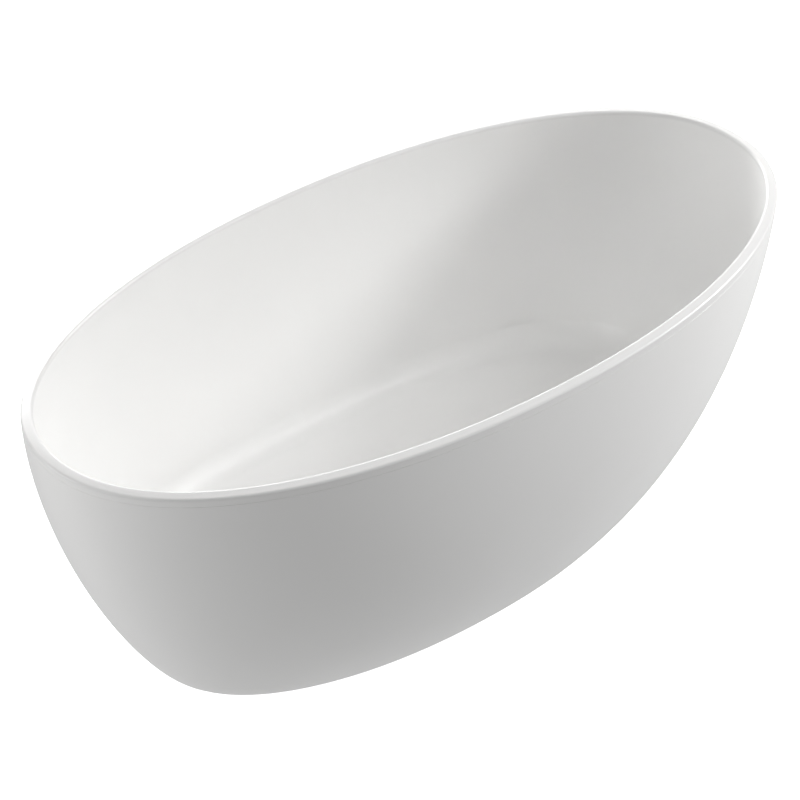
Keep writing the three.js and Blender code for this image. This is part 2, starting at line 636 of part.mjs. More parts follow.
// The compression nut that clamps the building's waste pipe.
function outletNut() {
  const inside = OUTLET_COLLAR + GAP;
  const outer = OUTLET_COLLAR + 4;
  const start = OUTLET_REACH - OUTLET_NUT_LENGTH + 4;
  const end = OUTLET_REACH;
  const mouth = OUTLET_RADIUS - TRAP_WALL + 1;
  const section = [[inside, start], [outer, start], [outer, end - 1], [outer - 1, end], [mouth, end]];
  section.push([mouth, end - 4], [inside, end - 4], [inside, start]);
  return alongX(turned(section));
}

// ---------- assembly ----------

const acrylic = new THREE.MeshStandardMaterial({ color: 0xf4f3f0, roughness: 0.18, metalness: 0 });
const wood = new THREE.MeshStandardMaterial({ color: 0xb08d5f, roughness: 0.8, metalness: 0 });
const steel = new THREE.MeshStandardMaterial({ color: 0xa9adb0, roughness: 0.45, metalness: 0.9 });
const zinc = new THREE.MeshStandardMaterial({ color: 0xc3c4bf, roughness: 0.35, metalness: 0.95 });
const chrome = new THREE.MeshStandardMaterial({ color: 0xe6e8ea, roughness: 0.08, metalness: 1 });
const rubber = new THREE.MeshStandardMaterial({ color: 0x222222, roughness: 0.7, metalness: 0 });
const plastic = new THREE.MeshStandardMaterial({ color: 0xe9e9e6, roughness: 0.5, metalness: 0 });
const padPlastic = new THREE.MeshStandardMaterial({ color: 0x2b2b2d, roughness: 0.6, metalness: 0 });

const tub = new THREE.Group();

function place(name, geometry, material, x = 0, y = 0) {
  const mesh = new THREE.Mesh(geometry, material);
  mesh.name = name;
  mesh.position.set(x, y, 0);
  tub.add(mesh);
}

const screwPlaces = [];
for (const side of [-1, 1]) {
  for (const k of [-1, 0, 1]) screwPlaces.push([k * BOARD_SCREW_X, side * RAIL_Y]);
}
const boltPlaces = [[-1, -1], [1, -1], [-1, 1], [1, 1]].map(([end, side]) => [end * FOOT_X, side * RAIL_Y]);
const footPlaces = [[-1, -1], [1, -1], [-1, 1], [1, 1]].map(([end, side]) => [end * FOOT_X, side * FOOT_Y]);

place('basin', basin(), acrylic);
place('skirt', skirt(), acrylic);
const screwHoles = screwPlaces.map(([x, y]) => boardScrewHole().translate(x, y, 0));
place('floor_board', floorBoard(screwHoles), wood);
place('rail_front', rail(-1), steel);
place('rail_back', rail(1), steel);
place('cross_rail_left', crossRail(-1), steel);
place('cross_rail_right', crossRail(1), steel);
screwPlaces.forEach(([x, y], k) => place(`board_screw_${k + 1}`, boardScrew(), zinc, x, y));
boltPlaces.forEach(([x, y], k) => {
  place(`frame_bolt_${k + 1}`, frameBolt(), zinc, x, y);
  place(`frame_nut_${k + 1}`, frameNut(), zinc, x, y);
});
footPlaces.forEach(([x, y], k) => {
  place(`weld_nut_${k + 1}`, weldNut(), zinc, x, y);
  place(`lock_nut_${k + 1}`, lockNut(), zinc, x, y);
  place(`foot_stud_${k + 1}`, footStud(), zinc, x, y);
  place(`foot_pad_${k + 1}`, footPad(), padPlastic, x, y);
});
place('waste_flange', wasteFlange(), chrome);
place('flange_gasket', flangeGasket(), rubber);
place('base_gasket', baseGasket(), rubber);
place('back_nut', backNut(), plastic);
place('cartridge_body', cartridgeBody(), chrome);
place('cartridge_spring', cartridgeSpring(), steel);
place('plunger', plunger(), chrome);
place('plug_cap', plugCap(), chrome);
place('plug_seal', plugSeal(), rubber);
place('coupling_nut', couplingNut(), plastic);
place('trap_seal', trapSeal(), rubber);
place('trap_body', trapBody(), plastic);
place('outlet_seal', outletSeal(), rubber);
place('outlet_nut', outletNut(), plastic);

export default tub;
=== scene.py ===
import math

import bmesh
import bpy
import numpy as np
from mathutils import Matrix, Vector


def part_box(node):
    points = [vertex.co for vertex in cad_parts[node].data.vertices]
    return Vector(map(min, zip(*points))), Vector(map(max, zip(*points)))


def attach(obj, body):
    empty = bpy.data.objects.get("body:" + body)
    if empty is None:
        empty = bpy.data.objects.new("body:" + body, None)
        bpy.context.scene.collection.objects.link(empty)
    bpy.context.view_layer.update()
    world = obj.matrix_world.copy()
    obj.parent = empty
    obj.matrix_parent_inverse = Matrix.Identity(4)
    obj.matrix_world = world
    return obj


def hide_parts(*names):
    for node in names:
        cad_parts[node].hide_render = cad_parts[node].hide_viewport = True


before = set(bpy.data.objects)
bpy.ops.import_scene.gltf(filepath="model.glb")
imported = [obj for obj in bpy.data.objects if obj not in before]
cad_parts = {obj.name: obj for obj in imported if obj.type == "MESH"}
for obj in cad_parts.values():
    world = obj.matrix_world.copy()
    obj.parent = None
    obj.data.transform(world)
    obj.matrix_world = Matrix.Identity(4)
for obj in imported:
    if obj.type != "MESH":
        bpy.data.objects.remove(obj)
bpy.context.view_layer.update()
scene = bpy.context.scene
MM = 0.001
QUARTER = math.pi / 2

# ---------- sizes, in millimetres, as in the CAD part except where it says ----------

LENGTH, WIDTH, HEIGHT = 1500, 720, 580
BASE_LENGTH, BASE_WIDTH = 1018, 432
RIM_POWER = 2.12
END_BULGE, END_FOOT = 1.52, 1.24
SIDE_BULGE, SIDE_FOOT = 2.64, 1.0
RIM_WIDTH, RIM_INNER_RADIUS = 21, 5
# Unlike the CAD part, whose rim is level and has an outer radius of 7.
RIM_OUTER_RADIUS, RIM_TILT = 4.5, math.radians(9)
LIP_CHAMFER = 0.15
LIP_DROP, SKIN = 18, 4
SEAM = 0.3
SKIRT_FOOT_FLANGE, SKIRT_TONGUE = 14, 10
END_SPACE, SIDE_SPACE = 11, 25
FLOOR_POWER, FLOOR_HEIGHT, FLOOR_FALL, FLOOR_BEND = 2.7, 146, 6, 34
INNER_END_CURVE, INNER_SIDE_CURVE = 1.75, 2.4
RECESS_RADIUS, RECESS_DEPTH, WASTE_HOLE_RADIUS = 39, 3, 26
BOARD_SHARE = 0.9
STUD_PITCH = 1.75
OVAL_SIDES = 320


def low_of(node):
    return [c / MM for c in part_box(node)[0]]


def high_of(node):
    return [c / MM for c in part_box(node)[1]]


def middle_of(node):
    return [(a + b) / 2 for a, b in zip(low_of(node), high_of(node))]


# ---------- mesh helpers ----------


def mesh_object(name, points, faces, sharp=35):
    """An object from points in millimetres. Edges sharper than the angle, in degrees, stay crisp."""
    mesh = bpy.data.meshes.new(name)
    mesh.from_pydata([[c * MM for c in p] for p in points], [], faces)
    made = bmesh.new()
    made.from_mesh(mesh)
    bmesh.ops.remove_doubles(made, verts=made.verts, dist=1e-7)
    bmesh.ops.dissolve_degenerate(made, edges=made.edges, dist=1e-7)
    bmesh.ops.recalc_face_normals(made, faces=made.faces)
    made.to_mesh(mesh)
    made.free()
    shade(mesh, sharp)
    found = bpy.data.objects.new(name, mesh)
    scene.collection.objects.link(found)
    return found


def shade(mesh, sharp):
    mesh.shade_smooth()
    mesh.set_sharp_from_angle(angle=math.radians(sharp))


def loft(rings, closed_tube=False):
    """Faces between rings of points. A ring of one point is a pole.

    A closed tube joins the last ring to the first.
    """
    points = [p for ring in rings for p in ring]
    starts = np.cumsum([0] + [len(ring) for ring in rings])
    faces = []
    pairs = list(zip(range(len(rings)), range(1, len(rings))))
    if closed_tube:
        pairs.append((len(rings) - 1, 0))
    for i, j in pairs:
        count = max(len(rings[i]), len(rings[j]))
        for k in range(count):
            n = (k + 1) % count
            lower = [starts[i]] if len(rings[i]) == 1 else [starts[i] + k, starts[i] + n]
            upper = [starts[j]] if len(rings[j]) == 1 else [starts[j] + n, starts[j] + k]
            if len(lower) + len(upper) > 2:
                faces.append([int(v) for v in lower + upper])
    return points, faces


def rounded(section, radius, steps=4):
    """A closed outline of [x, y] corners, each corner cut by an arc that starts up to radius away from it."""
    out = []
    count = len(section)
    for k in range(count):
        here = Vector(section[k])
        before, after = Vector(section[k - 1]) - here, Vector(section[(k + 1) % count]) - here
        reach = min(radius, before.length * 0.45, after.length * 0.45)
        on_axis = abs(here.x) < 1e-6
        if on_axis or reach < 1e-4 or abs(before.angle(after) - math.pi) < 0.05:
            out.append(here)
            continue
        start, end = here + before.normalized() * reach, here + after.normalized() * reach
        for i in range(steps + 1):
            t = i / steps
            out.append((1 - t) ** 2 * start + 2 * t * (1 - t) * here + t * t * end)
    return [(p.x, p.y) for p in out]


def turned(section, sides=48, radius=0.4, at=(0, 0, 0), steps=4):
    """Points and faces of a closed [radius, height] outline turned about Z."""
    rings = []
    for r, z in rounded(section, radius, steps):
        if r < 1e-6:
            rings.append([(at[0], at[1], z + at[2])])
            continue
        angles = [2 * math.pi * k / sides for k in range(sides)]
        rings.append([(at[0] + r * math.cos(a), at[1] + r * math.sin(a), z + at[2]) for a in angles])
    return loft(rings, closed_tube=len(rings[0]) > 1 or len(rings[-1]) > 1)


def hexagon_radius(angle, flats):
    return flats / 2 / math.cos((angle + math.pi / 6) % (math.pi / 3) - math.pi / 6)


def hexagon_part(flats, low, high, bore, at, chamfers=(True, True), sides=72):
    """A hexagon with turned chamfers on its faces, and a bore or a closed middle."""
    chamfer = flats / 2 * 0.97
    slope = math.tan(math.radians(30))
    angles = [2 * math.pi * (k + 0.5) / sides for k in range(sides)]
    inner = bore if bore else 0

    def circle(r, z):
        return [(at[0] + r * math.cos(a), at[1] + r * math.sin(a), z) for a in angles]

    def edge(z, way, cut):
        ring = []
        for a in angles:
            r = hexagon_radius(a, flats)
            drop = max(r - chamfer, 0) * slope if cut else 0
            ring.append((at[0] + r * math.cos(a), at[1] + r * math.sin(a), z - way * drop))
        return ring

    top, bottom = circle(chamfer, high), circle(chamfer, low)
    rows = [bottom, edge(low, -1, chamfers[0]), edge(high, 1, chamfers[1]), top]
    if inner:
        bevel = 0.6
        rows += [circle(inner + bevel, high), circle(inner, high - bevel)]
        rows += [circle(inner, low + bevel), circle(inner + bevel, low)]
        return loft(rows, closed_tube=True)
    return loft([[(at[0], at[1], low)], *rows, [(at[0], at[1], high)]])


def threaded(radius, depth, pitch, low, high, at, sides=32, end=1.0, per_turn=6, bore=0):
    """A rod or tube with a real helical thread on its outside and chamfered ends."""
    count = max(int(round((high - low) / pitch * per_turn)), 2)
    rings = []
    for i in range(count + 1):
        z = low + (high - low) * i / count
        near_end = min(z - low, high - z)
        limit = radius - depth - 0.2 + near_end * (depth + 0.2) / end
        ring = []
        for k in range(sides):
            a = 2 * math.pi * k / sides
            phase = ((z - low) / pitch - k / sides) % 1
            r = min(radius - depth * abs(2 * phase - 1), limit)
            ring.append((at[0] + r * math.cos(a), at[1] + r * math.sin(a), z))
        rings.append(ring)

    def circle(r, z):
        angles = [2 * math.pi * k / sides for k in range(sides)]
        return [(at[0] + r * math.cos(a), at[1] + r * math.sin(a), z) for a in angles]

    if bore:
        return loft([*rings, circle(bore, high), circle(bore, low)], closed_tube=True)
    return loft([[(at[0], at[1], low)], *rings, [(at[0], at[1], high)]])


def together(*parts):
    """Several closed shells as one list of points and faces."""
    points, faces = [], []
    for more_points, more_faces in parts:
        start = len(points)
        points += list(more_points)
        faces += [[v + start for v in face] for face in more_faces]
    return points, faces


WELD_METRES = 2e-6


def boolean(target, tools, operation):
    """Joins or cuts the tools into the target, welds what the cut leaves open, and removes the tools."""
    for tool in tools:
        step = target.modifiers.new(operation, "BOOLEAN")
        step.operation = operation
        step.solver = "EXACT"
        step.object = tool
    bpy.context.view_layer.update()
    depsgraph = bpy.context.evaluated_depsgraph_get()
    mesh = bpy.data.meshes.new_from_object(target.evaluated_get(depsgraph))
    target.modifiers.clear()
    old = target.data
    target.data = mesh
    bpy.data.meshes.remove(old)
    for tool in tools:
        data = tool.data
        bpy.data.objects.remove(tool)
        bpy.data.meshes.remove(data)
    welded = bmesh.new()
    welded.from_mesh(mesh)
    bmesh.ops.remove_doubles(welded, verts=welded.verts, dist=WELD_METRES)
    bmesh.ops.dissolve_degenerate(welded, edges=welded.edges, dist=WELD_METRES)
    bmesh.ops.triangulate(welded, faces=[f for f in welded.faces if len(f.verts) > 4])
    welded.to_mesh(mesh)
    welded.free()
    shade(mesh, 35)
    return target


def rod_tool(radius, low, high, x, y, sides=32):
    outline = [[0, low], [radius, low], [radius, high], [0, high]]
    return mesh_object("tool", *turned(outline, sides, 0, (x, y, 0)))


def along_x(part, z):
    """Turns points made about Z to lie about X, at a height."""
    points, faces = part
    return [(p[2], p[1], z - p[0]) for p in points], faces


def settle(piece, body, nodes, slot, *materials):
    """Gives a piece its materials, puts it under its body and hides the nodes it replaces. The slot argument
    is not used.
    """
    piece.data.materials.clear()
    for material in materials:
        piece.data.materials.append(material)
    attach(piece, body)
    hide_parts(*nodes)
    return piece


# ---------- node helpers ----------


class Surface:
    """A Principled material whose colour, roughness and bump are built from noise."""

    def __init__(self, name, roughness_range, metallic=0.0, **constants):
        self.material = bpy.data.materials.new(name)
        self.material.use_nodes = True
        self.tree = self.material.node_tree
        self.shader = self.tree.nodes["Principled BSDF"]
        self.shader.inputs["Metallic"].default_value = metallic
        self.rough_low, self.rough_high = roughness_range
        self.bump_normal = None
        for socket, value in constants.items():
            self.shader.inputs[socket.replace("_", " ")].default_value = value
        self.place = self.node("ShaderNodeTexCoord").outputs["Object"]

    def node(self, kind, **settings):
        made = self.tree.nodes.new(kind)
        for key, value in settings.items():
            setattr(made, key, value)
        return made

    def link(self, output, socket):
        self.tree.links.new(output, socket)

    def stretched(self, scale):
        mapping = self.node("ShaderNodeMapping")
        mapping.inputs["Scale"].default_value = scale
        self.link(self.place, mapping.inputs["Vector"])
        return mapping.outputs["Vector"]

    def noise(self, scale, detail=3.0, roughness=0.5, stretch=None, distortion=0.0):
        found = self.node("ShaderNodeTexNoise")
        found.inputs["Scale"].default_value = scale
        found.inputs["Detail"].default_value = detail
        found.inputs["Roughness"].default_value = roughness
        found.inputs["Distortion"].default_value = distortion
        self.link(self.stretched(stretch) if stretch else self.place, found.inputs["Vector"])
        return found.outputs["Fac"]

    def cells(self, scale, feature="F1", stretch=None, output="Distance"):
        found = self.node("ShaderNodeTexVoronoi", feature=feature)
        found.inputs["Scale"].default_value = scale
        self.link(self.stretched(stretch) if stretch else self.place, found.inputs["Vector"])
        return found.outputs[output]

    def ramp(self, value, low, high, start=0.0, end=1.0):
        found = self.node("ShaderNodeMapRange")
        for key, number in (("From Min", low), ("From Max", high), ("To Min", start), ("To Max", end)):
            found.inputs[key].default_value = number
        self.link(value, found.inputs["Value"])
        return found.outputs["Result"]

    def blend_colour(self, factor, first, second):
        mix = self.node("ShaderNodeMix", data_type="RGBA")
        for socket, value in ((mix.inputs[6], first), (mix.inputs[7], second)):
            if isinstance(value, tuple):
                socket.default_value = (*value, 1)
            else:
                self.link(value, socket)
        self.link(factor, mix.inputs[0])
        return mix.outputs[2]

    def colour(self, output):
        self.link(output, self.shader.inputs["Base Color"])
        return self

    def rough(self, value):
        found = self.ramp(value, 0.3, 0.7, self.rough_low, self.rough_high)
        self.link(found, self.shader.inputs["Roughness"])
        return self

    def bump(self, value, height_mm, strength=1.0):
        made = self.node("ShaderNodeBump")
        made.inputs["Strength"].default_value = strength
        made.inputs["Distance"].default_value = height_mm * MM
        self.link(value, made.inputs["Height"])
        if self.bump_normal:
            self.link(self.bump_normal, made.inputs["Normal"])
        self.bump_normal = made.outputs["Normal"]
        self.link(self.bump_normal, self.shader.inputs["Normal"])
        return self

    def edges(self, factor_of_edge):
        """A factor that is high along convex edges."""
        pointiness = self.node("ShaderNodeNewGeometry").outputs["Pointiness"]
        return self.ramp(pointiness, 0.5, 0.5 + factor_of_edge)


def acrylic_surface():
    s = Surface("acrylic_gloss", (0.3, 0.37), IOR=1.49, Coat_Weight=0.1, Coat_Roughness=0.16, Coat_IOR=1.5)
    cloud = s.noise(3.0, 2.0)
    fine = s.noise(60.0, 4.0, 0.6)
    base = s.blend_colour(s.ramp(cloud, 0.35, 0.65), (0.852, 0.849, 0.841), (0.857, 0.855, 0.847))
    film = s.noise(9.0, 4.0, 0.6)
    filmed = s.blend_colour(s.ramp(film, 0.55, 0.85), base, (0.848, 0.844, 0.834))
    parts = s.node("ShaderNodeSeparateXYZ")
    s.link(s.place, parts.inputs[0])
    # Painted shade: the rim is coloured a tenth darker than the walls, only to look as it does in the photo,
    # though the acrylic is the same there.
    painted_rim_shade = s.ramp(parts.outputs["Z"], (HEIGHT - 9) * MM, (HEIGHT - 3) * MM)
    s.colour(s.blend_colour(painted_rim_shade, filmed, (0.765, 0.762, 0.755))).rough(film)
    s.bump(s.noise(4.0, 1.0, 0.3), 0.35).bump(fine, 0.003)
    return s.material


def fibreglass_surface():
    """The back of the skins, where chopped glass in resin stiffens the acrylic."""
    s = Surface("fibreglass_back", (0.35, 0.6), IOR=1.5)
    strands = s.cells(120.0, "DISTANCE_TO_EDGE", (1, 1, 1))
    weave = s.noise(70.0, 6.0, 0.7, (1, 4, 1), 1.5)
    first = s.blend_colour(s.ramp(weave, 0.3, 0.7), (0.56, 0.54, 0.46), (0.70, 0.68, 0.60))
    s.colour(s.blend_colour(s.ramp(strands, 0.0, 0.12), (0.74, 0.73, 0.67), first)).rough(weave)
    s.bump(weave, 0.5).bump(strands, 0.25)
    return s.material


def board_surface():
    s = Surface("particle_board", (0.55, 0.8))
    chips = s.cells(220.0, "F1", (1, 1, 2.5), "Color")
    grey = s.node("ShaderNodeRGBToBW")
    s.link(chips, grey.inputs["Color"])
    flakes = s.blend_colour(grey.outputs["Val"], (0.33, 0.22, 0.12), (0.62, 0.47, 0.29))
    dust = s.noise(40.0, 6.0, 0.7)
    s.colour(s.blend_colour(s.ramp(dust, 0.4, 0.75), flakes, (0.68, 0.55, 0.38))).rough(dust)
    s.bump(grey.outputs["Val"], 0.3).bump(dust, 0.2)
    return s.material


def galvanised_surface():
    s = Surface("galvanised_steel", (0.32, 0.52), metallic=0.9)
    spangle = s.cells(85.0, "F1", None, "Color")
    grey = s.node("ShaderNodeRGBToBW")
    s.link(spangle, grey.inputs["Color"])
    base = s.blend_colour(grey.outputs["Val"], (0.42, 0.44, 0.46), (0.62, 0.64, 0.66))
    stain = s.noise(14.0, 5.0, 0.65)
    s.colour(s.blend_colour(s.ramp(stain, 0.55, 0.8), base, (0.48, 0.47, 0.45))).rough(stain)
    s.bump(s.noise(160.0, 3.0), 0.02)
    return s.material


def zinc_surface():
    s = Surface("zinc_plate", (0.2, 0.38), metallic=1.0)
    cloud = s.noise(90.0, 4.0, 0.6)
    base = s.blend_colour(s.ramp(cloud, 0.3, 0.7), (0.60, 0.61, 0.58), (0.74, 0.74, 0.70))
    s.colour(s.blend_colour(s.edges(0.06), base, (0.82, 0.82, 0.80))).rough(cloud)
    s.bump(s.noise(700.0, 2.0), 0.01)
    return s.material


def chrome_surface():
    s = Surface("polished_chrome", (0.04, 0.1), metallic=1.0)
    haze = s.noise(120.0, 4.0, 0.6)
    s.colour(s.blend_colour(s.ramp(haze, 0.4, 0.7), (0.80, 0.81, 0.83), (0.76, 0.77, 0.79))).rough(haze)
    s.bump(s.noise(260.0, 2.0), 0.004)
    return s.material


def moulded_surface(name, first, second, roughness, grain=900.0, grain_height=0.03):
    s = Surface(name, roughness, IOR=1.49)
    cloud = s.noise(35.0, 4.0, 0.6)
    base = s.blend_colour(s.ramp(cloud, 0.3, 0.7), first, second)
    worn = tuple(min(c * 1.25 + 0.01, 1) for c in second)
    s.colour(s.blend_colour(s.edges(0.08), base, worn)).rough(cloud)
    s.bump(s.cells(grain), grain_height).bump(cloud, 0.02)
    return s.material


acrylic = acrylic_surface()
fibreglass = fibreglass_surface()
particle_board = board_surface()
galvanised = galvanised_surface()
zinc = zinc_surface()
chrome = chrome_surface()
rubber = moulded_surface("black_rubber", (0.018, 0.018, 0.018), (0.032, 0.031, 0.030), (0.55, 0.75), 1400.0)
nylon = moulded_surface("black_nylon", (0.025, 0.025, 0.027), (0.040, 0.040, 0.043), (0.38, 0.55))
propylene = moulded_surface("white_polypropylene", (0.78, 0.78, 0.75), (0.84, 0.84, 0.82), (0.35, 0.5), 700.0)

# ---------- skins ----------


def rise(share, bulge, foot):
    return (1 - (1 - share) ** bulge) ** (1 / foot)


def outside_row(z, inset=0.0):
    share = min(z / HEIGHT, 1)
    a = BASE_LENGTH / 2 + (LENGTH - BASE_LENGTH) / 2 * rise(share, END_BULGE, END_FOOT)
    b = BASE_WIDTH / 2 + (WIDTH - BASE_WIDTH) / 2 * rise(share, SIDE_BULGE, SIDE_FOOT)
    return (a - inset, b - inset, z, RIM_POWER)


def oval(row, sides=OVAL_SIDES):
    a, b, z, power = row
    ring = []
    for k in range(sides):
        t = 2 * math.pi * k / sides
        c, s = math.cos(t), math.sin(t)
        size = (abs(c) ** power + abs(s) ** power) ** (-1 / power)
        ring.append((a * c * size, b * s * size, z))
    return ring


def spread(start, end, count):
    return [start + (end - start) * k / count for k in range(count + 1)]


WALL_FOOT_Z = FLOOR_HEIGHT + FLOOR_BEND
WALL_FOOT_A = outside_row(FLOOR_HEIGHT, 2 * SKIN + END_SPACE)[0]
WALL_FOOT_B = outside_row(FLOOR_HEIGHT, 2 * SKIN + SIDE_SPACE)[1]
WALL_TOP_A, WALL_TOP_B = outside_row(HEIGHT, RIM_WIDTH)[:2]
WALL_TOP_Z = HEIGHT - RIM_INNER_RADIUS
WALL_RISE = WALL_TOP_Z - WALL_FOOT_Z
END_LEAN = math.atan((WALL_TOP_A - WALL_FOOT_A) * INNER_END_CURVE / WALL_RISE)
SIDE_LEAN = math.atan((WALL_TOP_B - WALL_FOOT_B) * INNER_SIDE_CURVE / WALL_RISE)
FLOOR_LOW = FLOOR_HEIGHT - FLOOR_FALL
RECESS_EDGE = RECESS_RADIUS + RECESS_DEPTH
RECESS_FACE = FLOOR_LOW - RECESS_DEPTH


def bend_inset(up, lean):
    radius = FLOOR_BEND / (1 - math.sin(lean))
    return radius * math.cos(lean) - math.sqrt(up * (2 * radius - up))


def floor_row(share):
    a = RECESS_EDGE + (WALL_FOOT_A - bend_inset(0, END_LEAN) - RECESS_EDGE) * share
    b = RECESS_EDGE + (WALL_FOOT_B - bend_inset(0, SIDE_LEAN) - RECESS_EDGE) * share
    return (a, b, FLOOR_LOW + FLOOR_FALL * share, 2 + (FLOOR_POWER - 2) * share)


def bend_row(turn):
    up = FLOOR_BEND * (1 - math.cos(turn))
    a = WALL_FOOT_A - bend_inset(up, END_LEAN)
    b = WALL_FOOT_B - bend_inset(up, SIDE_LEAN)
    return (a, b, FLOOR_HEIGHT + up, FLOOR_POWER)


def inner_wall_row(share):
    a = WALL_FOOT_A + (WALL_TOP_A - WALL_FOOT_A) * (1 - (1 - share) ** INNER_END_CURVE)
    b = WALL_FOOT_B + (WALL_TOP_B - WALL_FOOT_B) * (1 - (1 - share) ** INNER_SIDE_CURVE)
    power = FLOOR_POWER + (RIM_POWER - FLOOR_POWER) * math.sqrt(share)
    return (a, b, WALL_FOOT_Z + WALL_RISE * share, power)


def basin_face():
    """Rows of the face that is seen, each with the turn of the skin's back: 0 down, positive outward."""
    rows = []
    hole_edge = ((WASTE_HOLE_RADIUS, -0.6), (WASTE_HOLE_RADIUS + 0.6, 0))
    recess_foot = ((RECESS_RADIUS - 1.5, 0), (RECESS_RADIUS - 0.4, 0.3))
    for r, z in (*hole_edge, *recess_foot):
        rows.append(((r, r, RECESS_FACE + z, 2), 0))
    recess_edge = (RECESS_EDGE - 0.8, RECESS_EDGE - 0.8, FLOOR_LOW - 0.6, 2)
    rows.append((recess_edge, 0))
    for share in (0.004, 0.03, 0.08, 0.15, 0.25, 0.35, 0.45, 0.55, 0.65, 0.75, 0.84, 0.92, 0.97):
        rows.append((floor_row(share), 0))
    for turn in spread(0, QUARTER, 16):
        rows.append((bend_row(turn), turn))
    for share in spread(0, 1, 44)[1:]:
        rows.append((inner_wall_row(share), QUARTER))
    rows += rim_rows()
    for z in (HEIGHT - 9, HEIGHT - 12, HEIGHT - 15, HEIGHT - LIP_DROP + 0.8, HEIGHT - LIP_DROP + LIP_CHAMFER):
        rows.append((outside_row(z), -QUARTER))
    rows.append((outside_row(HEIGHT - LIP_DROP, LIP_CHAMFER), -QUARTER))
    return rows


def rim_rows():
    """The rim: round at both edges, its top sloping outward a little."""
    rows = []
    across = RIM_WIDTH - RIM_INNER_RADIUS

    def add(inset, z, turn):
        a, b, _, power = outside_row(HEIGHT, inset)
        rows.append(((a, b, z, power), turn))

    for turn in spread(QUARTER, -RIM_TILT, 10)[1:]:
        inset = across + RIM_INNER_RADIUS * math.sin(turn)
        add(inset, HEIGHT - RIM_INNER_RADIUS * (1 - math.cos(turn)), turn)
    start = across - RIM_INNER_RADIUS * math.sin(RIM_TILT)
    end = RIM_OUTER_RADIUS * (1 - math.sin(RIM_TILT))
    start_z = HEIGHT - RIM_INNER_RADIUS * (1 - math.cos(RIM_TILT))
    end_z = start_z - (start - end) * math.tan(RIM_TILT)
    for share in (0.1, 0.5, 0.9):
        add(start + (end - start) * share, start_z + (end_z - start_z) * share, -RIM_TILT)
    middle_z = end_z - RIM_OUTER_RADIUS * math.cos(RIM_TILT)
    for turn in spread(-RIM_TILT, -QUARTER, 8):
        add(RIM_OUTER_RADIUS * (1 + math.sin(turn)), middle_z + RIM_OUTER_RADIUS * math.cos(turn), turn)
    return rows


def skin_back(row, turn):
    a, b, z, power = row
    out = SKIN * math.sin(turn)
    return (a + out, b + out, z - SKIN * math.cos(turn), power)


def make_basin():
    face = basin_face()
    backs = [skin_back(row, turn) for row, turn in face]
    backs[-1] = (*outside_row(HEIGHT - LIP_DROP, SKIN)[:2], HEIGHT - LIP_DROP, RIM_POWER)
    rings = [oval(row) for row, _ in face] + [oval(row) for row in reversed(backs)]
    points, faces = loft(rings, closed_tube=True)
    piece = mesh_object("basin_shell", points, faces, 30)
    paint_backs(piece, len(face), len(rings))
    return settle(piece, "tub", ["basin"], "acrylic", acrylic, fibreglass)


def paint_backs(piece, first_back_row, rows):
    """Gives the second material to the rows of faces that are hidden under the tub."""
    for polygon in piece.data.polygons:
        rings = sorted({v // OVAL_SIDES for v in polygon.vertices})
        hidden = rings[0] >= first_back_row and rings[-1] < rows
        polygon.material_index = 1 if hidden else 0


def make_skirt():
    top = HEIGHT - LIP_DROP - SEAM
    heights = [top * share ** 1.3 for share in spread(0, 1, 60)]
    outside = [(*outside_row(0, 1.0)[:2], 0, RIM_POWER), (*outside_row(0, 0.3)[:2], 0.3, RIM_POWER)]
    outside += [outside_row(z) for z in [1.0, *heights[3:-1], top - 0.8, top - LIP_CHAMFER]]
    outside += [(*outside_row(top, LIP_CHAMFER)[:2], top, RIM_POWER)]
    tongue_inset = SKIN + SEAM
    tongue_top = HEIGHT - LIP_DROP + SKIRT_TONGUE
    at_top = outside_row(top, tongue_inset)
    inner = outside_row(top, tongue_inset + SKIN)
    tongue = [at_top, (*at_top[:2], tongue_top - 0.5, RIM_POWER)]
    tongue += [(at_top[0] - 0.5, at_top[1] - 0.5, tongue_top, RIM_POWER)]
    tongue += [(inner[0] + 0.5, inner[1] + 0.5, tongue_top, RIM_POWER)]
    tongue += [(*inner[:2], tongue_top - 0.5, RIM_POWER)]
    inside = [outside_row(z, SKIN) for z in heights if SKIN < z < top - LIP_DROP][::-1]
    shoulder = outside_row(top - LIP_DROP, tongue_inset + SKIN)
    flange = SKIN + SKIRT_FOOT_FLANGE
    lip = (*outside_row(0, flange)[:2], SKIN, RIM_POWER)
    foot = [outside_row(SKIN + 2, SKIN), (*outside_row(SKIN, SKIN + 2)[:2], SKIN, RIM_POWER), lip]
    foot += [(lip[0], lip[1], 0.5, RIM_POWER), (lip[0] + 0.5, lip[1] + 0.5, 0, RIM_POWER)]
    rows = [*outside, *tongue, shoulder, *inside, *foot]
    points, faces = loft([oval(row) for row in rows], closed_tube=True)
    piece = mesh_object("skirt_shell", points, faces, 30)
    paint_backs(piece, len(outside) + len(tongue), len(rows))
    return settle(piece, "tub", ["skirt"], "acrylic", acrylic, fibreglass)


make_basin()
make_skirt()

# ---------- board and frame ----------


